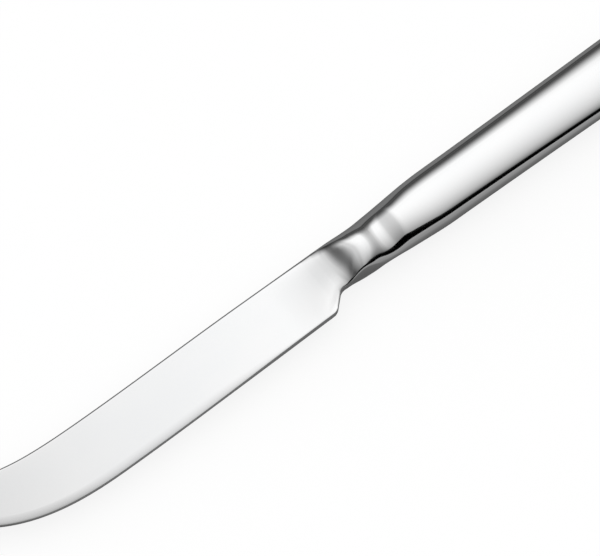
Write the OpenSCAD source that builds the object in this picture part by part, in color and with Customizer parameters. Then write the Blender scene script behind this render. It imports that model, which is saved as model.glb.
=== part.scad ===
// Cheese knife with a forked, turned-up tip and a filled hollow handle.
// It lies on its side: +X runs from the tip to the butt, +Y from the cutting edge to the spine.
// Lengths along the knife are measured from the ramp line, where the blade swells into the bolster.

/* [Blade] */
// Length of the blade from the ramp line to the outer point of the fork
blade_length = 127.5; // [115:0.5:140]
// Distance from the ramp line at which the blade starts to turn up
sweep_start = 74; // [66:0.5:80]
// Height of the spine above the handle's axis
spine_height = 6.85; // [6:0.05:7.4]
// Distance from the ramp line at which the spine starts to dip
dip_start = 28; // [10:1:50]
// How far the spine dips before it turns up
spine_dip = 0.45; // [0:0.05:0.8]
// Depth of the belly of the edge below the handle's axis
edge_depth = 11.55; // [10.6:0.05:13]
// Depth of the heel below the handle's axis
heel_depth = 10.25; // [9:0.05:10.5]
// Thickness of the blade up to where it turns up
blade_thickness = 2.4; // [2:0.1:2.8]
// Thickness of the blade at the points of the fork
tip_thickness = 1.4; // [1:0.1:1.6]
// Thickness left along the cutting edge
edge_thickness = 1.3; // [0.7:0.05:1.5]
// Width of the ground bevel along the cutting edge
bevel_width = 1.15; // [0.8:0.05:2]
// Distance from the ramp line at which the bevel is at its full width
bevel_full = 50; // [30:1:66]

/* [Fork] */
// Height of the outer point above the spine
fork_rise = 10; // [8:0.1:13]
// Angle between the prongs and the blade
fork_angle = 70; // [62:1:76]
// Distance between the two points
fork_width = 11.6; // [10:0.1:13]
// Depth of the notch between the prongs
fork_depth = 9; // [7:0.1:11]
// Width of each point
prong_width = 0.9; // [0.6:0.1:1.4]
// Radius at the root of the notch
notch_radius = 1.3; // [0.8:0.1:2]

/* [Bolster] */
// Distance from the ramp line back to the heel
heel_back = 10; // [9:0.1:13]
// Distance from the ramp line back to the inner corner of the choil
choil_back = 5.6; // [5:0.1:6.4]
// Depth of the neck behind the choil, below the handle's axis
neck_depth = 5.8; // [5:0.05:6.4]
// Length of the rounding at each corner of the choil
corner_length = 1.2; // [0.6:0.1:1.6]
// Distance from the ramp line back to where the blade starts to thicken
toe_length = 18; // [14:0.5:22]
// Thickness that the blade gains up to the ramp line
toe_gain = 2.1; // [0:0.1:3]
// Distance from the ramp line back to the foot of the ramp
ramp_foot = 4.8; // [4.2:0.1:5.6]
// Distance from the ramp line to the crest of the bolster, where the ramp ends
crest_place = 4.2; // [3.8:0.1:5]
// Thickness of the bolster at its crest
crest_thickness = 11.6; // [11:0.1:12.2]
// Distance from the ramp line back to where the flat section starts to round
oval_start = 4.3; // [3.6:0.1:5]
// Distance from the ramp line to where the section is a full oval
oval_end = 4.4; // [3.6:0.1:5.4]
// Distance from the ramp line to the waist, where the bolster starts to widen
waist_place = 5; // [4:0.1:6]
// Width of the bolster at the waist
waist_width = 12.6; // [12:0.05:14]
// Distance from the ramp line to the joint with the handle
neck_length = 8.3; // [7:0.1:10]

/* [Tang] */
// Length of the spigot that locates the handle
spigot_length = 4; // [2:0.5:6]
// Length of the tang behind the spigot
tang_length = 45; // [20:1:60]
// Width of the tang
tang_width = 6; // [4:0.5:8]
// Thickness of the tang
tang_thickness = 3; // [2:0.5:4]

/* [Handle] */
// Length of the handle behind the joint
handle_length = 90; // [80:1:105]
// Distance from the joint to the collar, the thinnest place behind the bolster
collar_length = 2.2; // [1.6:0.1:2.8]
// Thickness at the collar
collar_thickness = 10.1; // [9.6:0.1:10.6]
// Distance from the joint to the thickest place
swell_length = 8.1; // [7.4:0.1:12]
// Greatest thickness of the handle
handle_thickness = 12.35; // [11.4:0.05:13.5]
// Distance from the joint to the shoulder, where the sides straighten
shoulder_length = 21.7; // [18:0.1:30]
// Width at the shoulder
shoulder_width = 15.6; // [14.4:0.1:16.6]
// Width to which the sides spread at the butt
butt_width = 17.4; // [16.8:0.1:19]
// Thickness to which the handle thins at the butt
butt_thickness = 10.05; // [9:0.05:11]
// Length of the rounded end
butt_round = 9; // [6:0.1:12]
// Wall of the two pressed half shells
wall = 0.7; // [0.5:0.05:1]

/* [Joints] */
// Thickness of the weld between the half shells
seam = 0.3; // [0.2:0.05:0.5]
// Thickness of the braze between bolster and handle
braze = 0.2; // [0.1:0.05:0.4]
// Clearance round the spigot, the tang and the filling
fit = 0.05; // [0.03:0.01:0.1]

/* [Hidden] */

// How finely the curves are divided
tip_steps = 20;
belly_steps = 10;
corner_steps = 4;
neck_steps = 20;
swell_steps = 18;
grip_steps = 8;
round_steps = 8;
sides = 32;
shell_sides = 24;

// Section shapes: an oval has a power of 1, and a flat bar with crisp corners has less.
oval = 1;
plate_power = 0.1;
tang_power = 0.25;
// The cheeks of the blade are cut flat this much below the section's crown.
cheek_crop = 1.02;
// Bluntness of the rounded end, where 2 is an ellipse
butt_power = 2.4;
// How late the sides of the handle spread, where 1 is a straight taper
spread_power = 1.3;
// How late the handle thins towards the butt
thin_power = 1.2;
// Reach of each curve's first and last tangent, as a share of the turned-up length
edge_ease = 0.52;
edge_pull = 0.5;
spine_ease = 0.62;
spine_pull = 0.25;

// Places along the knife
mouth = neck_length + braze;
collar_end = neck_length + collar_length;
swell_end = neck_length + swell_length;
shoulder_end = neck_length + shoulder_length;
handle_end = mouth + handle_length;
round_start = handle_end - butt_round;
spigot_end = neck_length + spigot_length;
tang_end = spigot_end + tang_length;

// Steel, solder and filling
steel = "silver";
joint_metal = "gainsboro";
filling = "dimgray";

function mix(a, b, t) = a + (b - a) * t;

// An S-curve from 0 to 1 that starts and ends level
function rise(x, from, to) =
    let (t = min(1, max(0, (x - from) / (to - from))))
    t * t * (3 - 2 * t);

// An S-curve with flatter ends and a steeper middle
function swing(x, from, to) =
    let (t = min(1, max(0, (x - from) / (to - from))))
    t * t * t * (10 - 15 * t + 6 * t * t);

function bezier(p, t) =
    pow(1 - t, 3) * p[0] + 3 * t * pow(1 - t, 2) * p[1] + 3 * t * t * (1 - t) * p[2] + pow(t, 3) * p[3];

// A corner at p, rounded between the directions of a and b
function rounded(p, a, b, length) =
    let (from = p + length * (a - p) / norm(a - p), to = p + length * (b - p) / norm(b - p))
    [for (i = [0 : corner_steps]) let (t = i / corner_steps)
        pow(1 - t, 2) * from + 2 * t * (1 - t) * p + t * t * to];

// Plan of the tip: both sides sweep up until they run along the prongs.
prong_run = [-cos(fork_angle), sin(fork_angle)];
fork_line = [sin(fork_angle), cos(fork_angle)];
outer_point = [-blade_length, spine_height + fork_rise];
inner_point = outer_point + fork_width * fork_line;
belly = [-sweep_start, -edge_depth];
dip = [-sweep_start, spine_height - spine_dip];
sweep_length = blade_length - sweep_start;
edge_sweep = [
    belly,
    belly - [edge_ease * sweep_length, 0],
    outer_point - edge_pull * sweep_length * prong_run,
    outer_point];
spine_sweep = [
    dip,
    dip - [spine_ease * sweep_length, 0],
    inner_point - spine_pull * sweep_length * prong_run,
    inner_point];

// Plan of the edge, the choil and the neck
heel = [-heel_back, -heel_depth];
choil = [-choil_back, -neck_depth];
neck_start = [corner_length - choil_back, -neck_depth];
belly_run = sweep_start - heel_back;
belly_curve = [belly, belly + [belly_run / 3, 0], mix(heel, belly, 0.35), heel];
heel_corner = rounded(heel, belly_curve[2], choil, corner_length);
choil_corner = rounded(choil, heel, neck_start, corner_length);

// Half width of the neck and handle: a waist, a shoulder, then sides that spread to the butt
function spread(x) = pow(max(0, (x - shoulder_end) / (handle_end - shoulder_end)), spread_power);
function half_width(x) =
    waist_width / 2
    + (shoulder_width - waist_width) / 2 * rise(x, waist_place, shoulder_end)
    + (butt_width - shoulder_width) / 2 * spread(x);

function spine_side(x) =
    let (height = spine_height - spine_dip * rise(-x, dip_start, sweep_start))
    mix(height, half_width(x), rise(x, -ramp_foot, neck_length));
function neck_side(x) = -mix(neck_depth, half_width(x), rise(x, neck_start.x, neck_length));

edge_line = concat(
    [for (i = [tip_steps : -1 : 1]) bezier(edge_sweep, i / tip_steps)],
    [for (i = [0 : belly_steps - 1]) bezier(belly_curve, i / (belly_steps - 1) * (1 - corner_length / belly_run))],
    heel_corner,
    choil_corner,
    [for (i = [1 : neck_steps]) let (x = mix(neck_start.x, neck_length, i / neck_steps)) [x, neck_side(x)]]);
spine_line = [for (i = [0 : len(edge_line) - 1])
    i < tip_steps ? bezier(spine_sweep, 1 - i / tip_steps) : [edge_line[i].x, spine_side(edge_line[i].x)]];

// Half thickness along the knife: flat cheeks that thin towards the fork and thicken towards the ramp, then
// S-shaped steps up to the crest of the bolster, down to the collar and up to the swell of the handle
function toe(x) = toe_gain * pow(max(0, 1 + min(0, x) / toe_length), 2);
function cheek(x) =
    (mix(blade_thickness, tip_thickness, pow(max(0, -x - sweep_start) / sweep_length, 2)) + toe(x)) / 2;
function thinning(x) = pow(max(0, (x - swell_end) / (handle_end - swell_end)), thin_power);
function half_thickness(x) =
    mix(cheek(x), crest_thickness / 2, swing(x, -ramp_foot, crest_place))
    - (crest_thickness - collar_thickness) / 2 * swing(x, crest_place, collar_end)
    + (handle_thickness - collar_thickness) / 2 * swing(x, collar_end, swell_end)
    - (handle_thickness - butt_thickness) / 2 * thinning(x);

function shaped(value, power) = sign(value) * pow(abs(value), power);

// Section of the blade or bolster between a point of the edge and a point of the spine
function blade_ring(edge, spine) =
    let (
        round = rise(edge.x, -oval_start, oval_end),
        power = mix(plate_power, oval, round),
        crop = mix(cheek_crop, 1, round),
        bevel = rise(-edge.x, choil_back, bevel_full),
        ground = 1 - edge_thickness / blade_thickness)
    [for (j = [0 : sides - 1])
        let (
            across = -shaped(cos(360 * j / sides), power),
            up = shaped(sin(360 * j / sides), power),
            p = mix(edge, spine, (1 + across) / 2),
            taper = 1 - ground * max(0, bevel - norm(p - edge) / bevel_width))
        [p.x, p.y, half_thickness(p.x) * taper * max(-1, min(1, crop * up))]];

// Section of the spigot or tang
function bar_ring(x, width, thickness, power) =
    [for (j = [0 : sides - 1])
        [x, -shaped(cos(360 * j / sides), power) * width / 2, shaped(sin(360 * j / sides), power) * thickness / 2]];

// Stations along the handle, from the mouth to the pole of the rounded end
swell_stations = [for (i = [0 : swell_steps]) mix(mouth, shoulder_end, i / swell_steps)];
thickest_station = [swell_end];
grip_stations = [for (i = [1 : grip_steps]) mix(shoulder_end, round_start, i / grip_steps)];
stations = concat(
    [for (x = swell_stations) if (x < swell_end - fit) x],
    thickest_station,
    [for (x = swell_stations) if (x > swell_end + fit) x],
    grip_stations);
last_station = len(stations) - 1;
pole = last_station + round_steps;

function turn(i) = max(0, i - last_station) * 90 / round_steps;
function grip_x(i, inset) = i <= last_station ? stations[i] : round_start + (butt_round - inset) * sin(turn(i));
function closing(i) = pow(1 - pow(sin(turn(i)), butt_power), 1 / butt_power);
function grip_half_width(i, inset) = (half_width(grip_x(i, inset)) - inset) * closing(i);
function grip_half_height(i, inset) = (half_thickness(grip_x(i, inset)) - seam / 2 - inset) * closing(i);

// Half section of the handle above the seam
function shell_arc(i, inset) =
    [for (j = [0 : shell_sides])
        [grip_x(i, inset),
         grip_half_width(i, inset) * cos(180 * j / shell_sides),
         seam / 2 + grip_half_height(i, inset) * sin(180 * j / shell_sides)]];

// Whole section of the handle's inside
function filling_ring(i, inset) =
    [for (j = [0 : sides - 1])
        let (across = -cos(360 * j / sides), up = sin(360 * j / sides))
        [grip_x(i, inset),
         grip_half_width(i, inset) * across,
         sign(up) * seam / 2 + grip_half_height(i, inset) * up]];

// Centres the knife over the origin and stands it on its thickest place.
module placed() {
    translate([
        (blade_length - handle_end) / 2,
        (edge_depth - inner_point.y) / 2,
        handle_thickness / 2])
        children();
}

// A solid through a row of sections, closed at both ends
module loft(rings) {
    n = len(rings[0]);
    last = len(rings) - 1;
    polyhedron(
        points = [for (ring = rings) each ring],
        faces = concat(
            [[for (j = [n - 1 : -1 : 0]) j]],
            [for (i = [0 : last - 1], j = [0 : n - 1])
                let (a = i * n + j, b = i * n + (j + 1) % n)
                each [[a, b, a + n], [b, b + n, a + n]]],
            [[for (j = [0 : n - 1]) last * n + j]]));
}

// The space between the prongs
module notch() {
    mouth_half = fork_width / 2 - prong_width;
    root = (outer_point + inner_point) / 2 - (fork_depth - notch_radius) * prong_run;
    lean = atan((mouth_half - notch_radius) / (fork_depth - notch_radius));
    lip = mouth_half + prong_width * tan(lean);
    root_arc = [for (i = [0 : round_steps]) let (a = mix(180 + lean, 360 - lean, i / round_steps))
        notch_radius * [cos(a), sin(a)]];
    top = fork_depth - notch_radius + prong_width;
    outline = concat([[-lip, top]], root_arc, [[lip, top]]);
    linear_extrude(height = 2 * blade_thickness, center = true)
        polygon([for (p = outline) root + p.x * fork_line + p.y * prong_run]);
}

// One pressed half of the handle, above the seam
module half_shell() {
    row = shell_sides + 1;
    outer = [for (i = [0 : pole - 1]) each shell_arc(i, 0)];
    inner = [for (i = [0 : pole - 1]) each shell_arc(i, wall)];
    ends = [[handle_end, 0, seam / 2], [handle_end - wall, 0, seam / 2]];
    skip = len(outer);
    outer_pole = 2 * skip;
    inner_pole = outer_pole + 1;
    end_row = (pole - 1) * row;
    skin = [for (i = [0 : pole - 2], j = [0 : shell_sides - 1]) let (a = i * row + j)
        each [[a, a + 1, a + row], [a + 1, a + row + 1, a + row]]];
    end_fan = [for (j = [0 : shell_sides - 1]) [end_row + j, end_row + j + 1, outer_pole]];
    lining = [for (f = skin) [f[2] + skip, f[1] + skip, f[0] + skip]];
    lining_fan = [for (f = end_fan) [inner_pole, f[1] + skip, f[0] + skip]];
    mouth_face = [for (j = [0 : shell_sides - 1]) [j, j + skip, j + 1 + skip, j + 1]];
    left_rim = [for (i = [0 : pole - 2]) let (a = i * row) [a, a + row, a + row + skip, a + skip]];
    right_rim = [for (i = [0 : pole - 2]) let (a = i * row + shell_sides)
        [a, a + skip, a + row + skip, a + row]];
    end_rims = [
        [end_row, outer_pole, inner_pole, end_row + skip],
        [end_row + shell_sides, end_row + shell_sides + skip, inner_pole, outer_pole]];
    polyhedron(
        points = concat(outer, inner, ends),
        faces = concat(skin, end_fan, lining, lining_fan, mouth_face, left_rim, right_rim, end_rims));
}

// One forging: forked blade, bolster, spigot and tang
module blade() {
    spigot_width = 2 * (half_width(neck_length) - wall - fit);
    spigot_thickness = 2 * (half_thickness(min(collar_end, spigot_end)) - wall - fit);
    color(steel) placed() difference() {
        loft(concat(
            [for (i = [0 : len(edge_line) - 1]) blade_ring(edge_line[i], spine_line[i])],
            [bar_ring(neck_length, spigot_width, spigot_thickness, oval),
             bar_ring(spigot_end, spigot_width, spigot_thickness, oval),
             bar_ring(spigot_end, tang_width, tang_thickness, tang_power),
             bar_ring(tang_end, tang_width, tang_thickness, tang_power)]));
        notch();
    }
}

// Ring of silver solder between the bolster and the mouth of the handle
module bolster_braze() {
    ring = filling_ring(0, 0);
    hole = filling_ring(0, wall);
    color(joint_metal) placed() translate([neck_length, 0, 0])
        rotate([90, 0, 90])
        linear_extrude(height = braze)
        difference() {
            polygon([for (p = ring) [p.y, p.z]]);
            polygon([for (p = hole) [p.y, p.z]]);
        }
}

module handle_shell_front() {
    color(steel) placed() half_shell();
}

module handle_shell_back() {
    color(steel) placed() mirror([0, 0, 1]) half_shell();
}

// Weld along the rims of the half shells, ground flush
module seam_weld() {
    color(joint_metal) placed()
        linear_extrude(height = seam, center = true)
        polygon(concat(
            [for (i = [0 : pole]) [grip_x(i, 0), grip_half_width(i, 0)]],
            [for (i = [pole - 1 : -1 : 0]) [grip_x(i, 0), -grip_half_width(i, 0)]],
            [for (i = [0 : pole]) [grip_x(i, wall), -grip_half_width(i, wall)]],
            [for (i = [pole - 1 : -1 : 0]) [grip_x(i, wall), grip_half_width(i, wall)]]));
}

// Cement that fills the handle and grips the tang
module handle_filler() {
    front = spigot_end + fit;
    inset = wall + fit;
    pocket_width = tang_width + 2 * fit;
    pocket_thickness = tang_thickness + 2 * fit;
    first = [for (i = [0 : last_station]) if (stations[i] > front) i][0];
    color(filling) placed() loft(concat(
        [bar_ring(tang_end + fit, pocket_width, pocket_thickness, tang_power),
         bar_ring(stations[first], pocket_width, pocket_thickness, tang_power)],
        [for (i = [first : pole - 1]) filling_ring(i, inset)]));
}

blade();
bolster_braze();
handle_shell_front();
handle_shell_back();
seam_weld();
handle_filler();
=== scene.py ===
# %% [markdown]
# # A polished cheese knife
#
# This lesson dresses a cheese knife that lies on its side on a pale table. The knife has a slim blade
# with a forked, turned-up tip, a notch at the heel, a forged bolster and an oval hollow handle. All of it
# is mirror-polished steel, so most of the look comes from smooth surfaces and from what they reflect.
#
# The construction comes as a fixed frame of solids. We load it first, and read places and sizes from the
# boxes of its parts.

# %% Load the frame
import math

import bmesh
import bpy
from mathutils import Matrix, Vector


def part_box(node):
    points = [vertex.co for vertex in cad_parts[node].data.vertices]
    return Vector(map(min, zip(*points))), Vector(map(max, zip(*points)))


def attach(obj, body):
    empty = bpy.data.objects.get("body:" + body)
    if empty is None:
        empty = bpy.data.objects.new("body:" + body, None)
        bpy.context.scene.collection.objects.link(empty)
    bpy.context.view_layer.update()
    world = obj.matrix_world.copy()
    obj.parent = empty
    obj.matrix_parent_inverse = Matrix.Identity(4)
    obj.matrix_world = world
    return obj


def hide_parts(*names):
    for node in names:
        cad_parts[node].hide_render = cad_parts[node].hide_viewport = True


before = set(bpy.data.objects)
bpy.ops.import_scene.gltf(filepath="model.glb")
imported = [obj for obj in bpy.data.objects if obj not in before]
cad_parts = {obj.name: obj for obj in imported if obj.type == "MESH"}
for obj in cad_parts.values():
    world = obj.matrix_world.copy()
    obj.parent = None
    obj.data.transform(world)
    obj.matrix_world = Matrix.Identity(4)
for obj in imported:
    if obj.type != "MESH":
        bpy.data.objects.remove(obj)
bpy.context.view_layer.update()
print("solids:", sorted(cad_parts))

# %% [markdown]
# ## Places and sizes
#
# A cutler measures a knife from the line where the bolster starts to rise, from the handle's axis and from
# the mid-plane of the blade. We do the same, in millimetres. Those three places, and the sizes that can be
# read from the solids' boxes, come from the frame, so the looks can't drift away from the construction.
# Sizes that no box shows, such as the width of the waist, are written here by name.

# %% Places that the frame fixes
MM = 0.001
neck_length = 8.3

blade_low, blade_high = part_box("blade")
braze_low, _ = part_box("bolster_braze")
shell_low, shell_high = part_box("handle_shell_front")
weld_low, weld_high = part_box("seam_weld")

ramp_line = braze_low.x - neck_length * MM
axis = (weld_low.y + weld_high.y) / 2
mid_plane = (weld_low.z + weld_high.z) / 2


def placed(point):
    """A point in millimetres from the ramp line, the axis and the mid-plane, as metres in the frame."""
    x, y, z = point
    return (ramp_line + x * MM, axis + y * MM, mid_plane + z * MM)


blade_length = (ramp_line - blade_low.x) / MM
edge_depth = (axis - blade_low.y) / MM
seam = (weld_high.z - weld_low.z) / MM
mouth = (shell_low.x - ramp_line) / MM
handle_end = (shell_high.x - ramp_line) / MM
handle_thickness = 2 * (shell_high.z - mid_plane) / MM
tang_end = (blade_high.x - ramp_line) / MM
print(f"blade {blade_length:.1f} mm, handle {handle_end - mouth:.1f} mm, {handle_thickness:.1f} mm thick")

# %% Sizes of the blade, in millimetres
sweep_start = 74
spine_height = 6.62
dip_start = 28
spine_dip = 0.45
heel_back = 10
heel_depth = 10.1
choil_back = 5.6
neck_depth = 5.95
corner_length = 1.2
blade_thickness = 2.4
tip_thickness = 1.4
edge_thickness = 1.3
bevel_width = 2.3
bevel_full = 52
honed_width = 1
ground_back = 0.12
fork_rise = 10
fork_angle = math.radians(70)
fork_width = 11.6
fork_depth = 9
prong_width = 0.9
notch_radius = 1.3
print(f"blade {blade_thickness} mm thick, with a fork {fork_width} mm wide")

# %% Sizes of the bolster and the handle, in millimetres
toe_length = 22
toe_gain = 4.6
ramp_foot = 5.2
crest_place = 5.0
ramp_lag = 0.85
crest_thickness = 11.6
oval_start = 4.3
oval_end = 4.4
oval_lead = 1.4
neck_dip = 0.15
neck_cut = 0.1
edge_fullness = 0.03
spine_pinch = 0.6
edge_pinch = 0.2
pinch_lead = 1
pinch_width = 0.25
waist_place = 5
waist_width = 12.6
collar_thickness = 10.1
collar_end = neck_length + 2.2
swell_end = neck_length + 8.8
shoulder_end = neck_length + 21.7
shoulder_width = 15.6
butt_width = 17.4
butt_thickness = 10.05
butt_round = 9
round_start = handle_end - butt_round
wall = 0.7
fit = 0.05
spigot_end = neck_length + 4
tang_width = 6
tang_thickness = 3
print(f"bolster {waist_width} mm wide and {crest_thickness} mm thick, shoulder {shoulder_width} mm wide")

# %% [markdown]
# ## Curves
#
# A forged and ground knife has no straight line that stops dead: each stretch runs into the next. Two small
# tools draw all of it. One is a step from 0 to 1 that starts and ends level, in a plain and a steeper kind,
# which carries a width or a thickness from one value to the next. The other is a cubic curve with two
# handles, as in Blender's own curve editor, for the sweep of the tip. Plain formulas give an even surface,
# and a mirror shows every dent that hand-placed points would leave.

# %% Curve tools
def mix(a, b, share):
    return a + (b - a) * share


def rise(x, start, end):
    """An S-curve from 0 at start to 1 at end."""
    t = min(1, max(0, (x - start) / (end - start)))
    return t * t * (3 - 2 * t)


def swing(x, start, end):
    """An S-curve with flatter ends and a steeper middle."""
    t = min(1, max(0, (x - start) / (end - start)))
    return t ** 3 * (10 - 15 * t + 6 * t * t)


def bezier(handles, t):
    a, b, c, d = handles
    return a * (1 - t) ** 3 + b * 3 * t * (1 - t) ** 2 + c * 3 * t * t * (1 - t) + d * t ** 3


def rounded(corner, before, after, steps):
    """Points round a corner, between the directions of the points before and after it."""
    start = corner + (before - corner).normalized() * corner_length
    end = corner + (after - corner).normalized() * corner_length
    shares = [i / steps for i in range(steps + 1)]
    return [start * (1 - t) ** 2 + corner * 2 * t * (1 - t) + end * t * t for t in shares]


print("an S-curve at a quarter of its way:", rise(0.25, 0, 1))

# %% [markdown]
# ## The blade's outline
#
# Seen from above, the blade is two lines. The spine is almost straight, with a slight dip, and the cutting
# edge bellies a little and ends at the heel, where a notch leads up to the neck. Towards the tip both
# lines sweep up until they run along the two prongs of the fork. For the sweep, a point of the edge is
# paired with a point of the spine at the same share of the way, so the sections fan out round the bend.

# %% The sweep of the tip and the belly of the edge
edge_handles = (0.28, 0.57)
spine_handles = (0.5, 0.265)
heel_turn = 0.35
sweep_length = blade_length - sweep_start
prong_run = Vector((-math.cos(fork_angle), math.sin(fork_angle)))
fork_line = Vector((math.sin(fork_angle), math.cos(fork_angle)))
outer_point = Vector((-blade_length, spine_height + fork_rise))
inner_point = outer_point + fork_width * fork_line
belly = Vector((-sweep_start, ground_back - edge_depth))
dip = Vector((-sweep_start, spine_height - spine_dip))
along = Vector((sweep_length, 0))


def sweep_curve(start, end, handles):
    """A curve that leaves the blade level and ends along a prong, with handles as shares of its run."""
    level, steep = handles
    return [start, start - level * along, end - steep * sweep_length * prong_run, end]


edge_sweep = sweep_curve(belly, outer_point, edge_handles)
spine_sweep = sweep_curve(dip, inner_point, spine_handles)
heel = Vector((-heel_back, -heel_depth))
choil = Vector((-choil_back, -neck_depth))
neck_start = choil + Vector((corner_length, 0))
belly_run = sweep_start - heel_back
belly_curve = [belly, belly + Vector((belly_run / 3, 0)), mix(heel, belly, heel_turn), heel]
print("points of the fork in mm:", [[round(v, 2) for v in p] for p in (outer_point, inner_point)])

# %% [markdown]
# ## Width and thickness
#
# The bolster grows out of the blade: within about ten millimetres the section goes from a 2.4 mm plate to
# an oval crest. Behind it the handle has a thin collar, swells to its full thickness, and spreads slowly
# towards the butt. Each of these is one S-curve step, and the steps are simply added up. That gives the
# crest, the collar and the shoulders of the real knife, and no step shows as an edge in the polish. Two
# small steps follow the forging: the neck is hollowed a little on both sides, and round the collar the
# flanks are drawn in, more on the spine's side than on the edge's.

# %% Width and thickness along the knife
spread_power = 1.3
thin_power = 1.2
pinch_rise = (2, 11)
pinch_fall = (13, 25)


def pinched(x):
    """How far the flanks are drawn in behind the crest: 1 at the collar, 0 on the grip."""
    return rise(x, *pinch_rise) * (1 - rise(x, *pinch_fall))


def flank_draw(x, lead):
    """Power that draws a flank in; lead runs from -1 at the edge's side to 1 at the spine's side."""
    return mix(edge_pinch, spine_pinch, (1 + lead) / 2) * pinched(x + pinch_lead * lead)


def half_width(x):
    spread = max(0, (x - shoulder_end) / (handle_end - shoulder_end)) ** spread_power
    shoulder = (shoulder_width - waist_width) * rise(x, waist_place, shoulder_end)
    return (waist_width + shoulder + (butt_width - shoulder_width) * spread) / 2 + pinch_width * pinched(x)


def half_thickness(x, lag=0):
    cheek_taper = (max(0, -x - sweep_start) / sweep_length) ** 2
    cheek = mix(blade_thickness, tip_thickness, cheek_taper)
    bolster = mix(cheek, crest_thickness, swing(x - lag, -ramp_foot, crest_place))
    collar = (collar_thickness - crest_thickness) * swing(x, crest_place, collar_end)
    swell = (handle_thickness - collar_thickness) * swing(x, collar_end, swell_end)
    thinning = max(0, (x - swell_end) / (handle_end - swell_end)) ** thin_power
    return (bolster + collar + swell - (handle_thickness - butt_thickness) * thinning) / 2


for place, x in (("crest", crest_place), ("collar", collar_end)):
    print(f"half thickness at the {place}: {half_thickness(x):.2f} mm")

# %% The two sides of the neck
neck_widens = 1
edge_fade = 3
spine_fade = 2
spine_hollow = (-6, 1)
spine_hollow_share = 0.4


def spine_side(x):
    blade_spine = spine_height - spine_dip * rise(-x, dip_start, sweep_start)
    hollow = spine_hollow_share * neck_dip * rise(x, *spine_hollow) * (1 - rise(x, spine_fade, neck_length))
    return mix(blade_spine, half_width(x), rise(x, -ramp_foot, neck_length)) - hollow


def neck_side(x):
    hollow = neck_dip * rise(x, neck_start.x, neck_widens) * (1 - rise(x, edge_fade, neck_length))
    full_side = (1 + edge_fullness) * half_width(x)
    return hollow - mix(neck_depth, full_side, rise(x, neck_widens, neck_length))


print(f"the neck is {spine_side(0) - neck_side(0):.2f} mm wide at the ramp line")

# %% [markdown]
# ## Skins
#
# Each piece is a closed skin. We could model it from a subdivided box, but a subdivided box pulls away from
# the sizes that the frame gives. Rows of points that follow the formulas stay exact, and neighbouring rows
# are joined by quads, as a boat builder lays planks over frames. Edges that are crisp on the knife, such
# as the rim of a half shell, are marked sharp, so that the smooth shading stops there.

# %% Rows of points that become a piece
class Skin:
    """The points and the faces of one piece, from rows of points in millimetres."""

    def __init__(self):
        self.points = []
        self.faces = []
        self.honed = []
        self.creases = set()

    def row(self, points, honed=None):
        first = len(self.points)
        self.points += [placed(p) for p in points]
        self.honed += honed or [0] * len(points)
        return list(range(first, len(self.points)))

    def bridge(self, row, following, closed=True):
        """Quads between two rows of as many points."""
        pairs = list(zip(row, following))
        if closed:
            pairs.append(pairs[0])
        self.faces += [(a, c, d, b) for (a, b), (c, d) in zip(pairs, pairs[1:])]

    def fan(self, row, tip, closed=True):
        """Triangles from a row to one point."""
        ends = row + row[:1] if closed else row
        self.faces += [(a, b, tip) for a, b in zip(ends, ends[1:])]

    def crease(self, row, closed=True):
        """Marks the edges along a row as sharp."""
        ends = row + row[:1] if closed else row
        self.creases |= {frozenset(pair) for pair in zip(ends, ends[1:])}

# %% From a skin to an object on the frame
def make_piece(skin, name, node):
    """Makes a skin's object, which rides on the knife's one body and stands for a solid."""
    mesh = bpy.data.meshes.new(name)
    mesh.from_pydata(skin.points, [], skin.faces)
    shape = bmesh.new()
    shape.from_mesh(mesh)
    bmesh.ops.recalc_face_normals(shape, faces=shape.faces)
    open_edges = sum(not edge.is_manifold for edge in shape.edges)
    shape.to_mesh(mesh)
    shape.free()
    for edge in mesh.edges:
        edge.use_edge_sharp = frozenset(edge.vertices) in skin.creases
    mesh.shade_smooth()
    mesh.attributes.new("honed", "FLOAT", "POINT").data.foreach_set("value", skin.honed)
    piece = bpy.data.objects.new(name, mesh)
    bpy.context.scene.collection.objects.link(piece)
    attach(piece, "root")
    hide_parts(node)
    print(f"{name}: {len(mesh.vertices)} points, {open_edges} open edges")
    return piece

# %% [markdown]
# ## Sections of the blade
#
# A section across the blade is a flat plate: a superellipse, which is an oval with its power turned up until
# its faces are flat. Its rim along the spine is rounded. Towards the bolster the blade is crowned, and the
# power falls to a plain oval, first on the spine's side. Along the cutting edge both faces are ground to a
# narrow convex bevel that grows from the heel, and the edge itself stays blunt, as on a table knife. A mirror
# shows the line where a bevel starts, so the columns crowd on both sides of that line and at the corners,
# and are sparse on the flat.

# %% Columns across a section
strip_columns = (0, 0.003, 0.015, 0.05, 0.1, 0.17, 0.26, 0.37, 0.5, 0.66, 0.84, 0.97, 1.03)
face_columns = (0.01, 0.025, 0.05, 0.09, 0.15, 0.24, 0.36, 0.52, 0.74, 1)
half_columns = len(strip_columns) + len(face_columns) - 1
column_turns = [math.pi * j / (2 * half_columns) for j in range(2 * half_columns + 1)]
corner_strip = 0.6
least_strip = 0.3


def side_columns(strip, reach):
    """Distances from one side: crowded over a strip, then wider apart until the reach."""
    crowded = [strip * c for c in strip_columns]
    return crowded + [mix(crowded[-1], reach, c) for c in face_columns]


def column_shares(length, middle, strip, rounding):
    """Places of the columns, from 0 at the edge to 1 at the spine."""
    from_edge = [d / length for d in side_columns(strip, middle * length)]
    from_spine = [1 - d / length for d in side_columns(corner_strip, (1 - middle) * length)]
    flat = from_edge + from_spine[-2::-1]
    oval = [(1 - math.cos(turn)) / 2 for turn in column_turns]
    return [mix(a, b, rounding) for a, b in zip(flat, oval)]


print("columns from the edge to the spine:", len(column_turns))

# %% Heights across a section
plate_power = 0.1
cheek_crop = 1.02
ease_width = 2.2
ease_depth = 0.03
rim_radius = 0.85
toe_power = 3
neck_power = 0.12
toe_heel = (-14, -4)


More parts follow.
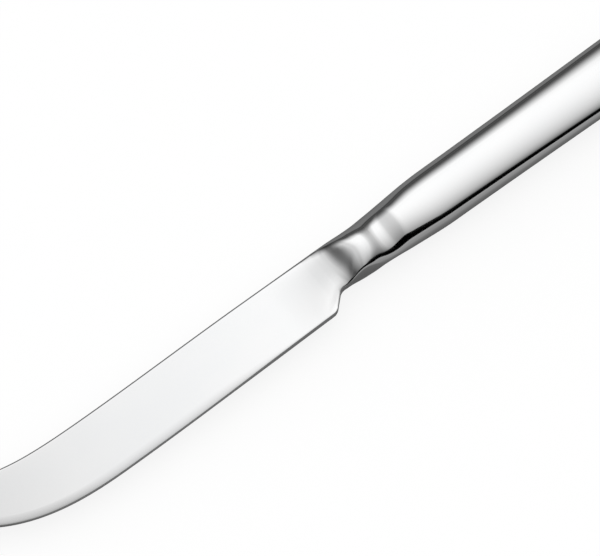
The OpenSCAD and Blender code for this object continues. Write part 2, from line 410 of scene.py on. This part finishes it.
def bevel_share(x):
    """How much of the bevel is ground at a place along the edge."""
    return rise(-x, choil_back, bevel_full)


def plate_height(share, power=plate_power, crop=cheek_crop):
    """Height of a section, as a share of its half thickness."""
    return min(1, crop * max(0, 1 - abs(1 - 2 * share) ** (2 / power)) ** (power / 2))


def ground_taper(bevel, distance):
    """What grinding leaves of the thickness, at a distance from the cutting edge."""
    return 1 - (1 - edge_thickness / blade_thickness) * max(0, bevel - distance / bevel_width) ** 2


def eased(x, distance):
    """How far polishing has eased the cheek, at a distance from the spine."""
    return ease_depth * rise(-x, ramp_foot, heel_back) * max(0, 1 - distance / ease_width) ** 2


def rim_drop(distance):
    """How far the spine's rounded rim lies below the cheek, at a distance from the spine."""
    return rim_radius * (1 - math.sqrt(1 - max(0, 1 - distance / rim_radius) ** 2))


def toe_height(x, y):
    """How far the blade swells before the ramp: most along the middle, nothing at the rims."""
    low = -mix(heel_depth, neck_depth, rise(x, *toe_heel))
    high = spine_side(x)
    off_middle = min(1, abs(2 * y - low - high) / (high - low))
    grown = max(0, 1 + x / toe_length) ** 2
    crown = toe_gain / 2 * grown * (1 - off_middle ** toe_power)
    return crown * (1 - swing(x, -ramp_foot, crest_place))


print(f"the crown is {toe_height(-ramp_foot, 0):.2f} mm high at the foot of the ramp")

# %% Whole sections
def section(edge, spine, middle=0.5):
    """The top of one section, from the edge to the spine, with the middle column at that share."""
    length = (spine - edge).length
    bevel = bevel_share(edge.x)
    strip = max(bevel * bevel_width, least_strip)
    shares = column_shares(length, middle, strip, rise(edge.x, -oval_start, oval_end))
    flat_side = seam / 2 * rise(edge.x, 0, neck_length)
    cut = rise(edge.x, neck_start.x, 0) * (1 - rise(edge.x, neck_widens, neck_length))
    top = [edge.to_3d()]
    for share in shares[1:-1]:
        p = mix(edge, spine, share)
        from_spine = (1 - share) * length
        lead = 2 * share - 1
        rounding = rise(p.x + oval_lead * max(0, lead), -oval_start, oval_end)
        thick = half_thickness(p.x, ramp_lag * max(0, -lead)) * ground_taper(bevel, share * length)
        thick += toe_height(p.x, p.y) - eased(p.x, from_spine) - (1 - rounding) * rim_drop(from_spine)
        power = mix(plate_power, 1, rounding)
        height = plate_height(mix(neck_cut * cut, 1, share), power, mix(cheek_crop, 1, rounding))
        height **= 1 + flank_draw(p.x, lead)
        height *= plate_height(share, neck_power) ** cut
        top.append(Vector((p.x, p.y, flat_side + (thick - flat_side) * height)))
    return top + [spine.to_3d()]


def mirrored(point):
    return Vector((point.x, point.y, -point.z))


def closed_ring(top):
    """A whole section: its top, then the mirror image underneath, back to the edge."""
    return top + [mirrored(p) for p in reversed(top[1:-1])]


print("points round one section:", len(closed_ring(section(belly, dip))))

# %% [markdown]
# ## The root of the fork
#
# The two prongs part at a small round notch. The mesh has to part there too, and cutting the notch out with
# a Boolean would leave long thin faces that ripple in a mirror. Instead we look for the section that just
# touches the notch. Up to it the blade is one loft, and beyond it each prong is a loft of its own that
# starts on half of that section.

# %% Where the blade parts
notch_centre = (outer_point + inner_point) / 2 - (fork_depth - notch_radius) * prong_run


def sweep_pair(t):
    """A point of the edge and its partner on the spine, from the belly at 0 to the fork at 1."""
    return bezier(edge_sweep, t), bezier(spine_sweep, t)


def crossing(function, low, high):
    """The place where a rising function passes 0."""
    for _ in range(50):
        middle = (low + high) / 2
        low, high = (middle, high) if function(middle) < 0 else (low, middle)
    return middle


def notch_ahead(t):
    """How far the middle of the notch lies ahead of the section at t."""
    edge, spine = sweep_pair(t)
    across = (spine - edge).normalized()
    return (notch_centre - edge).dot(Vector((-across.y, across.x)))


def foot_share(t):
    """Share of the section at t that lies nearest to the middle of the notch."""
    edge, spine = sweep_pair(t)
    return (notch_centre - edge).dot(spine - edge) / (spine - edge).length_squared


root_t = crossing(lambda t: notch_radius - notch_ahead(t), 0.5, 1)
root_share = foot_share(root_t)
print(f"the blade parts at {root_t:.3f} of the sweep, {root_share:.2f} of the way across")

# %% [markdown]
# ## The body of the blade
#
# From the root of the fork the loft runs back along the sweep, the belly, the heel, the notch at the heel
# and the neck, up to the joint with the handle. The rows lie close together where the outline turns.

# %% Pairs of points from the fork to the joint
def evenly(count):
    return [i / count for i in range(count + 1)]


sweep_rows = 60
belly_rows = 60
corner_rows = 8
neck_rows = 60
joint_row = 0.02
belly_stop = 1 - corner_length / belly_run

edge_line = [bezier(belly_curve, t * belly_stop) for t in evenly(belly_rows)]
edge_line += rounded(heel, belly_curve[2], choil, corner_rows)
edge_line += rounded(choil, heel, neck_start, corner_rows)
neck_places = [mix(neck_start.x, neck_length, t) for t in evenly(neck_rows)[1:]]
neck_places.insert(-1, neck_length - joint_row)
edge_line += [Vector((x, neck_side(x))) for x in neck_places]


def honed_marks(top):
    """How honed each point of a section is: 1 on the bevel, 0 beyond it."""
    bevel = bevel_share(top[0].x)
    return [float((p.xy - top[0].xy).length < bevel * honed_width) for p in closed_ring(top)]


blade = Skin()
rings = []
for t in evenly(sweep_rows)[:0:-1]:
    edge, spine = sweep_pair(t * root_t)
    top = section(edge, spine, mix(0.5, root_share, t))
    rings.append(blade.row(closed_ring(top), honed_marks(top)))
for edge in edge_line:
    top = section(edge, Vector((edge.x, spine_side(edge.x))))
    rings.append(blade.row(closed_ring(top), honed_marks(top)))
for ring, following in zip(rings, rings[1:]):
    blade.bridge(ring, following)
print("sections from the fork to the joint:", len(rings))

# %% [markdown]
# ## The prongs
#
# Each prong keeps the blade's outer side and gains a wall along the notch. The wall is upright with a
# slightly eased rim, and at the point the section closes to a rounded end, because a cheese fork pricks
# but doesn't cut. The two prongs are the same loft with the outer side swapped.

# %% Walls of the notch
mouth_half = fork_width / 2 - prong_width
lean = math.atan((mouth_half - notch_radius) / (fork_depth - notch_radius))
wall_foot = Vector((notch_radius * math.cos(lean), -notch_radius * math.sin(lean)))
wall_slope = (mouth_half - wall_foot.x) / (fork_depth - notch_radius - wall_foot.y)


def notch_half(ahead):
    """Half width of the notch, at a distance ahead of its middle."""
    if ahead < wall_foot.y:
        return math.sqrt(max(0, notch_radius ** 2 - ahead ** 2))
    return wall_foot.x + wall_slope * (ahead - wall_foot.y)


def in_notch(point):
    """Above 0 between the prongs, below 0 in the steel."""
    offset = point - notch_centre
    return notch_half(offset.dot(prong_run)) - abs(offset.dot(fork_line))


def notch_walls(t):
    """Where the section at t meets the notch, on the edge's side and on the spine's side."""
    edge, spine = sweep_pair(t)
    offset = (edge - notch_centre).dot(fork_line)
    width = (spine - edge).dot(fork_line)
    inside = foot_share(t) if notch_ahead(t) > 0 else -offset / width
    near = crossing(lambda share: in_notch(mix(edge, spine, share)), 0, inside)
    far = crossing(lambda share: -in_notch(mix(edge, spine, share)), inside, 1)
    return mix(edge, spine, near), mix(edge, spine, far)


print(f"the notch opens from {2 * notch_radius} mm to {2 * mouth_half:.1f} mm")

# %% Rows along one prong
rim_ease = 0.2
wall_turns = [math.radians(a) for a in (60, 30, 0, -30, -60)]
root_edge, root_spine = sweep_pair(root_t)
root_width = (root_spine - root_edge).length


def prong_ring(t, side, ease, closing):
    """Section of the prong on the edge's side (0) or the spine's side (1)."""
    outer = sweep_pair(t)[side]
    wall_point = notch_walls(t)[side]
    inward = (outer - wall_point).normalized()
    width = (outer - wall_point).length - ease
    strip = min((bevel_width, corner_strip)[side], width / 2)
    ring = [outer.to_3d()]
    for distance in side_columns(strip, width)[1:]:
        p = outer - distance * inward
        thick = half_thickness(p.x)
        if side == 0:
            thick *= ground_taper(1, distance)
        else:
            thick -= eased(p.x, distance) + rim_drop(distance)
        height = thick * plate_height(distance / root_width)
        ring.append(Vector((p.x, p.y, height)))
    underside = [mirrored(p) for p in reversed(ring[1:])]
    for turn in wall_turns:
        p = wall_point + ease * (1 - math.cos(turn)) * inward
        ring.append(Vector((p.x, p.y, height * math.sin(turn))))
    centre = mix(outer, wall_point, 0.5).to_3d()
    return [mix(centre, p, closing) for p in ring + underside]

# %% Both prongs
prong_rows = 26
tip_rows = 9
tip_round = 0.45
ease_speed = 3
nudge = 0.01

root_ring = rings[0]
last_column = 2 * half_columns
root_height = blade.points[root_ring[half_columns]][2] - mid_plane
seat = mix(root_edge, root_spine, root_share)
wall_row = blade.row([(seat.x, seat.y, root_height / MM * math.sin(turn)) for turn in wall_turns])

starts = [
    root_ring[:half_columns + 1] + wall_row + root_ring[3 * half_columns:],
    root_ring[last_column:half_columns - 1:-1] + wall_row + root_ring[3 * half_columns:last_column:-1]]
for side, ring in enumerate(starts):
    reach = (sweep_pair(1)[side] - sweep_pair(1 - nudge)[side]).length / nudge
    round_t = 1 - tip_round / reach
    stops = [(mix(root_t, round_t, s * s), min(1, ease_speed * s), 1) for s in evenly(prong_rows)[1:]]
    for s in evenly(tip_rows)[1:-1]:
        turn = s * math.pi / 2
        stops.append((1 - tip_round * (1 - math.sin(turn)) / reach, 1, math.cos(turn)))
    for t, ease, closing in stops:
        following = blade.row(prong_ring(t, side, ease * rim_ease, closing))
        blade.bridge(ring, following)
        ring = following
    tip = mix(sweep_pair(1)[side], notch_walls(1)[side], 0.5)
    blade.fan(ring, blade.row([tip.to_3d()])[0])
print("points on the blade and its prongs:", len(blade.points))

# %% [markdown]
# ## The spigot and the tang
#
# Behind the bolster the same forging goes on inside the handle: a short oval spigot that fills the mouth of
# the shells, and a flat tang that the cement grips. Nobody sees them, but they belong to the piece, and a
# knife that comes apart on the bench shows them.

# %% Spigot and tang, and the blade's object
tang_power = 0.25


def bent(value, power):
    return math.copysign(abs(value) ** power, value)


def bar_top(x, width, thickness, power):
    """The top of a section of the spigot or the tang."""
    return [
        Vector((x, -bent(math.cos(a), power) * width / 2, bent(math.sin(a), power) * thickness / 2))
        for a in column_turns]


spigot_width = 2 * (half_width(neck_length) - wall - fit)
spigot_thickness = 2 * (half_thickness(collar_end) - wall - fit)
ring = rings[-1]
for bar in (
        (neck_length, spigot_width, spigot_thickness, 1),
        (spigot_end, spigot_width, spigot_thickness, 1),
        (spigot_end, tang_width, tang_thickness, tang_power),
        (tang_end, tang_width, tang_thickness, tang_power)):
    following = blade.row(closed_ring(bar_top(*bar)))
    blade.bridge(ring, following)
    blade.crease(ring)
    ring = following
blade.crease(ring)
blade.fan(ring, blade.row([(tang_end, 0, 0)])[0])
blade_piece = make_piece(blade, "polished_blade", "blade")

# %% [markdown]
# ## The half shells of the handle
#
# A hollow handle is two pressed shells that are welded rim to rim. Each is half of an oval section with a
# thin wall. Towards the butt the section closes on a superellipse, which is fuller than a circle, and ends
# in a pole. One function makes both halves, with the side as a sign, so they are true mirror images. Round
# the collar only the outside is drawn in: the inside stays a plain oval, and the wall thins there, so that
# the spigot and the cement keep their room.

# %% Stations along the handle
swell_rows = 44
grip_rows = 36
butt_rows = 20
butt_power = 2.4
shell_columns = 64
rim_crowding = 0.1

stations = [(mix(mouth, shoulder_end, t), 0) for t in evenly(swell_rows)]
stations.insert(1, (mouth + joint_row, 0))
stations += [(mix(shoulder_end, round_start, t), 0) for t in evenly(grip_rows)[1:]]
stations += [(round_start, math.sin(math.pi / 2 * (1 - (1 - t) ** 2))) for t in evenly(butt_rows)[1:-1]]


def grip(station, inset):
    """Place, half width and half height of the handle at a station, at a depth below its surface."""
    start, share = station
    x = start + (butt_round - inset) * share
    closing = (1 - share ** butt_power) ** (1 / butt_power)
    return x, (half_width(x) - inset) * closing, (half_thickness(x) - seam / 2 - inset) * closing


def shell_arc(station, inset, side):
    """One half of the handle's section, from the spine's rim over the crown to the edge's rim."""
    x, width, height = grip(station, inset)
    turns = [math.pi * (t - rim_crowding * math.sin(2 * math.pi * t)) for t in evenly(shell_columns)]
    arc = []
    for a in turns:
        power = 1 + flank_draw(x, math.cos(a)) * (1 - inset / wall)
        y = width * math.cos(a)
        y += edge_fullness * min(0, y)
        arc.append((x, y, side * (seam / 2 + height * max(0, math.sin(a)) ** power)))
    return arc


print("stations along the handle:", len(stations))

# %% Front and back shell
def half_shell(name, node, side):
    skin = Skin()
    layers = []
    for inset in (0, wall):
        rows = [skin.row(shell_arc(station, inset, side)) for station in stations]
        pole = skin.row([(handle_end - inset, 0, side * seam / 2)])[0]
        for row, following in zip(rows, rows[1:]):
            skin.bridge(row, following, closed=False)
        skin.fan(rows[-1], pole, closed=False)
        rim = [row[0] for row in rows] + [pole] + [row[-1] for row in reversed(rows)]
        skin.crease(rim, closed=False)
        skin.crease(rows[0], closed=False)
        layers.append((rows[0], rim))
    (outer_mouth, outer_rim), (inner_mouth, inner_rim) = layers
    skin.bridge(outer_mouth, inner_mouth, closed=False)
    skin.bridge(outer_rim, inner_rim, closed=False)
    return make_piece(skin, name, node)


shells = [
    half_shell("polished_shell_front", "handle_shell_front", 1),
    half_shell("polished_shell_back", "handle_shell_back", -1)]

# %% [markdown]
# ## Weld and solder
#
# The weld along the rims and the ring of solder at the bolster are ground flush and polished with the
# rest, so on a good knife they hardly show. We still build them as thin pieces of their own. Their outer
# faces follow the same formulas as their neighbours, so the reflections run straight across.

# %% The weld along the seam
weld = Skin()
paths = []
for inset in (0, wall):
    layer = [grip(station, inset) for station in stations]
    spine_half = [(x, y) for x, y, _ in layer]
    edge_half = [(x, -y * (1 + edge_fullness)) for x, y, _ in reversed(layer)]
    paths.append(spine_half + [(handle_end - inset, 0)] + edge_half)
outer_path, inner_path = paths
level = seam / 2
weld_corners = ((outer_path, level), (outer_path, -level), (inner_path, -level), (inner_path, level))
lines = [weld.row([(x, y, z) for x, y in path]) for path, z in weld_corners]
for line, following in zip(lines, lines[1:] + lines[:1]):
    weld.bridge(line, following, closed=False)
    weld.crease(line, closed=False)
for end in (0, -1):
    end_face = [line[end] for line in lines]
    weld.faces.append(tuple(end_face))
    weld.crease(end_face)
weld_piece = make_piece(weld, "seam_weld_line", "seam_weld")

# %% The solder at the bolster
def mouth_loop(x, inset):
    """A whole section of the handle's mouth: the front half, then the back half."""
    station = (x, 0)
    return shell_arc(station, inset, 1) + shell_arc(station, inset, -1)[::-1]


braze = Skin()
ring_places = [mix(neck_length, mouth, t) for t in (0, 0.1, 0.5, 0.9, 1)]
outside = [braze.row(mouth_loop(x, 0)) for x in ring_places]
inside = [braze.row(mouth_loop(x, wall)) for x in (mouth, neck_length)]
loops = outside + inside
for loop, following in zip(loops, loops[1:] + loops[:1]):
    braze.bridge(loop, following)
for loop in (outside[0], outside[-1], *inside):
    braze.crease(loop)
braze_piece = make_piece(braze, "bolster_solder_ring", "bolster_braze")

# %% [markdown]
# ## Mirror-polished steel
#
# Polished steel has almost no colour of its own. What tells it from a plain mirror is small: a faint cool
# or warm drift over a few centimetres, polishing lines that run along the knife and blur reflections a
# little, and sparse hairlines from use. Each is a noise texture on the object's own coordinates, stretched
# along the knife. An image of scratches would need unwrapping and would repeat, and the noise doesn't.

# %% Tools for the finishes
def new_finish(name):
    material = bpy.data.materials.new(name)
    material.use_nodes = True
    return material, material.node_tree, material.node_tree.nodes["Principled BSDF"]


def noise(tree, stretch, detail, turn=0):
    """A noise on the object's coordinates, with waves per metre given for each axis."""
    place = tree.nodes.new("ShaderNodeTexCoord")
    mapping = tree.nodes.new("ShaderNodeMapping")
    mapping.inputs["Scale"].default_value = stretch
    mapping.inputs["Rotation"].default_value[2] = turn
    texture = tree.nodes.new("ShaderNodeTexNoise")
    texture.inputs["Scale"].default_value = 1
    texture.inputs["Detail"].default_value = detail
    tree.links.new(place.outputs["Object"], mapping.inputs["Vector"])
    tree.links.new(mapping.outputs["Vector"], texture.inputs["Vector"])
    return texture.outputs["Fac"]


def scaled(tree, value, low, high, new_low, new_high):
    """Carries a value from one range to another and holds it there."""
    node = tree.nodes.new("ShaderNodeMapRange")
    for socket, number in zip(("From Min", "From Max", "To Min", "To Max"), (low, high, new_low, new_high)):
        node.inputs[socket].default_value = number
    tree.links.new(value, node.inputs["Value"])
    return node.outputs["Result"]


def added(tree, first, second):
    node = tree.nodes.new("ShaderNodeMath")
    node.operation = "ADD"
    tree.links.new(first, node.inputs[0])
    tree.links.new(second, node.inputs[1])
    return node.outputs["Value"]


tone_range = (0.35, 0.65)


def two_tone(tree, value, deep, pale):
    """A colour that drifts between two tones."""
    ramp = tree.nodes.new("ShaderNodeValToRGB")
    for stop, position, tone in zip(ramp.color_ramp.elements, tone_range, (deep, pale)):
        stop.position = position
        stop.color = (*tone, 1)
    tree.links.new(value, ramp.inputs["Fac"])
    return ramp.outputs["Color"]

# %% The polish
MICRON = 1e-6
drift_waves = (25, 50, 50)
line_waves = (60, 5000, 5000)
hairline_waves = (40, 3000, 3000)
hairline_turn = math.radians(14)
line_roughness = 0.03
hairline_roughness = 0.06
honed_roughness = 0.06
line_depth = 0.3 * MICRON
cool_grey = (0.675, 0.68, 0.685)
plain_grey = (0.70, 0.70, 0.70)
mirror_gloss = 0.05
joint_gloss = 0.06


def polished_steel(name, deep, pale, gloss):
    """Steel with lengthwise polishing lines, hairlines and a honed edge; gloss is its lowest roughness."""
    material, tree, shader = new_finish(name)
    shader.inputs["Metallic"].default_value = 1
    drift = noise(tree, drift_waves, 3)
    lines = noise(tree, line_waves, 2)
    hairlines = noise(tree, hairline_waves, 1, turn=hairline_turn)
    edge = tree.nodes.new("ShaderNodeAttribute")
    edge.attribute_name = "honed"
    tree.links.new(two_tone(tree, drift, deep, pale), shader.inputs["Base Color"])

    roughness = scaled(tree, lines, 0.3, 0.7, gloss, gloss + line_roughness)
    roughness = added(tree, roughness, scaled(tree, hairlines, 0.72, 0.78, 0, hairline_roughness))
    roughness = added(tree, roughness, scaled(tree, edge.outputs["Fac"], 0, 1, 0, honed_roughness))
    tree.links.new(roughness, shader.inputs["Roughness"])

    bump = tree.nodes.new("ShaderNodeBump")
    bump.inputs["Distance"].default_value = line_depth
    tree.links.new(lines, bump.inputs["Height"])
    tree.links.new(bump.outputs["Normal"], shader.inputs["Normal"])
    return material


blade_steel = polished_steel("polished_blade_steel", cool_grey, plain_grey, mirror_gloss)
handle_steel = polished_steel("polished_handle_steel", cool_grey, plain_grey, mirror_gloss)
joint_metal = polished_steel("polished_joint_metal", (0.67, 0.67, 0.665), (0.695, 0.69, 0.685), joint_gloss)
blade_piece.data.materials.append(blade_steel)
for shell in shells:
    shell.data.materials.append(handle_steel)
for joint in (weld_piece, braze_piece):
    joint.data.materials.append(joint_metal)
print("steels:", [m.name for m in (blade_steel, handle_steel, joint_metal)])

# %% [markdown]
# ## Cement in the handle
#
# The shells are filled with cement that holds the tang. The solid from the frame already has its shape, so
# it stays, and only gets a finish: a dull grey-brown with coarse grains.

# %% The cement
grain_waves = (900, 900, 900)
grain_depth = 60 * MICRON
cement, tree, shader = new_finish("set_cement")
grains = noise(tree, grain_waves, 5)
tree.links.new(two_tone(tree, grains, (0.24, 0.22, 0.20), (0.36, 0.34, 0.31)), shader.inputs["Base Color"])
tree.links.new(scaled(tree, grains, 0.3, 0.7, 0.8, 0.95), shader.inputs["Roughness"])
grit = tree.nodes.new("ShaderNodeBump")
grit.inputs["Distance"].default_value = grain_depth
tree.links.new(grains, grit.inputs["Height"])
tree.links.new(grit.outputs["Normal"], shader.inputs["Normal"])

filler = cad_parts["handle_filler"]
for slot in filler.material_slots:
    slot.material = cement
print("cement slots:", len(filler.material_slots))

# %% [markdown]
# ## The table
#
# The knife lies on a plain pale table, one large sheet of matt white with a very faint mottle. What the
# camera and the reflections see of it is mostly an even white glow, because more light on the table would
# also be more light on the knife. The rest is the lit sheet, so the knife's soft shadow stays on it.

# %% The table top
table_half = 3
table_drop = 0.05 * MM
corners = [(-1, -1), (1, -1), (1, 1), (-1, 1)]
table_points = [(table_half * x, table_half * y, -table_drop) for x, y in corners]
table_mesh = bpy.data.meshes.new("table_top")
table_mesh.from_pydata(table_points, [], [(0, 1, 2, 3)])
table = bpy.data.objects.new("table_top", table_mesh)
bpy.context.scene.collection.objects.link(table)
print("table", 2 * table_half, "m wide")

# %% The table's white
shadow_fill = 0.85
mottle_waves = (40, 40, 40)
table_white, tree, shader = new_finish("matt_table_white")
mottle = noise(tree, mottle_waves, 4)
table_tone = two_tone(tree, mottle, (0.955, 0.955, 0.955), (0.965, 0.965, 0.965))
tree.links.new(table_tone, shader.inputs["Base Color"])
shader.inputs["Roughness"].default_value = 0.9
shader.inputs["Specular IOR Level"].default_value = 0
glow = tree.nodes.new("ShaderNodeEmission")
seen_by = tree.nodes.new("ShaderNodeLightPath")
sight = added(tree, seen_by.outputs["Is Camera Ray"], seen_by.outputs["Is Glossy Ray"])
sight = added(tree, sight, seen_by.outputs["Is Transmission Ray"])
blend = tree.nodes.new("ShaderNodeMixShader")
tree.links.new(scaled(tree, sight, 0, 1, 0, shadow_fill), blend.inputs["Fac"])
tree.links.new(shader.outputs["BSDF"], blend.inputs[1])
tree.links.new(glow.outputs["Emission"], blend.inputs[2])
tree.links.new(blend.outputs["Shader"], tree.nodes["Material Output"].inputs["Surface"])
table_mesh.materials.append(table_white)
print(f"share of the table's white that no shadow dims: {shadow_fill}")

# %% [markdown]
# ## Soft studio light
#
# A mirror shows the room, so the room is the light. The world is a pale dome that is brightest above the
# spine's side and fades evenly away from there. A white card under it renders white, no brighter. A dome
# alone would leave the steel without contrast, so photographers hang dark flags round polished cutlery.
# We do that too: one on each long side, with a taller corner where the handle starts, one above the tip and
# one above the butt. The upright and the overhead ones fade towards a rim, and only reflections see them, so
# the table stays evenly lit. The one above the tip fades out far away and is shorter on the edge's side,
# because the blade would mirror nothing else when it is seen from behind, and turn black. A last dark sheet
# lies flat on the table, and only reflections see it too. It is painted shade: it darkens the table that the
# steel mirrors, most next to the knife, in place of the knife's shadow there.

# %% The dome
dome_top = Vector((0.15, 0.5, 0.85)).normalized()
dome_level = 0.5
dome_gain = 0.945
lowest = -0.5
dome_range = (lowest, 1, dome_level + lowest * dome_gain, dome_level + dome_gain)

world = bpy.data.worlds.new("studio_dome")
bpy.context.scene.world = world
world.use_nodes = True
tree = world.node_tree
direction = tree.nodes.new("ShaderNodeTexCoord")
towards_top = tree.nodes.new("ShaderNodeVectorMath")
towards_top.operation = "DOT_PRODUCT"
towards_top.inputs[1].default_value = dome_top
tree.links.new(direction.outputs["Generated"], towards_top.inputs[0])
strength = scaled(tree, towards_top.outputs["Value"], *dome_range)
tree.links.new(strength, tree.nodes["Background"].inputs["Strength"])
tree.nodes["Background"].inputs["Color"].default_value = (1, 1, 1, 1)
print(f"a white card on the table gets {dome_level + dome_gain * dome_top.z * 2 / 3:.2f}")

# %% Flags, and a painted shade sheet, that only reflections see
flag_and_painted_shade_black = bpy.data.materials.new("flag_and_painted_shade_black")
flag_and_painted_shade_black.use_nodes = True
tree = flag_and_painted_shade_black.node_tree
tree.nodes.clear()
shade = tree.nodes.new("ShaderNodeAttribute")
shade.attribute_name = "darkness"
blend = tree.nodes.new("ShaderNodeMixShader")
black = tree.nodes.new("ShaderNodeEmission")
black.inputs["Strength"].default_value = 0
output = tree.nodes.new("ShaderNodeOutputMaterial")
tree.links.new(shade.outputs["Fac"], blend.inputs["Fac"])
tree.links.new(tree.nodes.new("ShaderNodeBsdfTransparent").outputs["BSDF"], blend.inputs[1])
tree.links.new(black.outputs["Emission"], blend.inputs[2])
tree.links.new(blend.outputs["Shader"], output.inputs["Surface"])


def flag(name, rows):
    """A sheet through rows of (one end, other end, darkness)."""
    points = [end for row in rows for end in row[:2]]
    faces = [(2 * i, 2 * i + 1, 2 * i + 3, 2 * i + 2) for i in range(len(rows) - 1)]
    mesh = bpy.data.meshes.new(name)
    mesh.from_pydata(points, [], faces)
    darkness = [row[2] for row in rows for _ in range(2)]
    mesh.attributes.new("darkness", "FLOAT", "POINT").data.foreach_set("value", darkness)
    mesh.materials.append(flag_and_painted_shade_black)
    sheet = bpy.data.objects.new(name, mesh)
    bpy.context.scene.collection.objects.link(sheet)
    sheet.visible_camera = False
    sheet.visible_diffuse = False
    sheet.visible_shadow = False


print("flag material:", flag_and_painted_shade_black.name)

# %% Flags along the knife
flag_distance = 0.27
flag_length = 2
corner_distance = 0.26
corner_foot = 0.019


def lengthwise_sheet(name, rows):
    """A flag along the knife, or the painted shade sheet on the table, through (distance from the middle,
    height, darkness).
    """
    half = flag_length / 2
    flag(name, [((-half, y, z), (half, y, z), dark) for y, z, dark in rows])


def side_flag(name, y, steps):
    """An upright flag along the knife, through (elevation in degrees, darkness)."""
    lengthwise_sheet(name, [(y, abs(y) * math.tan(math.radians(a)), dark) for a, dark in steps])


side_flag("edge_side_flag", -flag_distance, [
    (0, 0.5), (3.9, 0.5), (4.1, 1), (13, 1), (16, 0.92), (20, 0.5), (24, 0.12), (29, 0)])
side_flag("spine_side_flag", flag_distance, [
    (-2, 0.93), (8, 0.9), (15, 0.82), (20, 0.71), (25, 0.56), (30, 0.39), (36, 0.2), (44, 0)])

corner_steps = [
    (-0.13, 0.13, 0), (-0.05, 0.15, 1), (0.03, 0.148, 1), (0.06, 0.138, 1),
    (0.1, 0.12, 0.9), (0.15, 0.1, 0.8), (1, 0.1, 0.8)]
flag("corner_flag", [
    ((x, -corner_distance, corner_foot), (x, -corner_distance, top), dark) for x, top, dark in corner_steps])
print("long flags are", flag_distance, "m from the knife")

# %% Flags above the knife, and painted shade on the table
flag_reach = 8
far_place = -0.2
far_reach = 1


def overhead_flag(name, height, steps):
    """A level flag above the knife, through (place along the knife, darkness)."""
    rows = []
    z = mid_plane + height
    for x, dark in steps:
        edge_reach = far_reach if x < far_place else flag_reach
        rows.append(((ramp_line + x, -edge_reach, z), (ramp_line + x, flag_reach, z), dark))
    flag(name, rows)


overhead_flag("tip_side_flag", 0.5, [
    (-4, 0), (-1.1, 0.1), (-0.85, 0.3), (-0.65, 0.75), (-0.55, 0.92), (-0.425, 0.8), (-0.275, 0.51),
    (-0.15, 0.32), (-0.08, 0.31), (-0.025, 0.27), (0.02, 0.155), (0.05, 0.105), (0.1, 0.035), (0.135, 0)])
overhead_flag("butt_side_flag", 1, [(0.5, 0), (0.7, 0.2), (0.85, 0.31), (1.1, 0.47), (8, 0.47)])

# Painted shade: a dark sheet on the table that only reflections see. It is darkest next to the knife and
# stands in for the knife's shadow in the table that the steel mirrors.
painted_table_shade_steps = [
    (-flag_distance, 0.5), (-0.08, 0.57), (-0.03, 0.64), (-0.018, 0.8), (-0.012, 0.86), (0, 0.86),
    (0.02, 0.76), (0.08, 0.76), (0.1, 0.9), (flag_distance, 0.93)]
lengthwise_sheet("painted_table_shade_sheet", [(y, -table_drop / 2, dark) for y, dark in painted_table_shade_steps])

# %% [markdown]
# ## The camera
#
# The photograph looks down on the knife at 66 degrees to the table, with a long lens, and turned so that
# the handle runs towards the upper right corner. A long lens keeps parallel sides parallel. The picture is
# 150 mm wide at the knife, so both ends of it run out of the frame.

# %% Camera
picture_width = 150 * MM
camera_turn = math.radians(-37.93)
camera_tilt = math.radians(66)
aim = Vector((2.93 * MM, -1.44 * MM, mid_plane))

camera_data = bpy.data.cameras.new("long_lens")
camera_data.lens = 400
camera_data.sensor_width = 36
camera_data.clip_end = 20
distance = picture_width * camera_data.lens / camera_data.sensor_width
back = Vector((
    math.sin(camera_turn) * math.cos(camera_tilt),
    -math.cos(camera_turn) * math.cos(camera_tilt),
    math.sin(camera_tilt)))
camera = bpy.data.objects.new("long_lens", camera_data)
camera.location = aim + back * distance
camera.rotation_euler = back.to_track_quat("Z", "Y").to_euler()
bpy.context.scene.collection.objects.link(camera)
bpy.context.scene.camera = camera
bpy.context.scene.view_settings.view_transform = "Standard"
print(f"camera {distance:.2f} m from the knife")
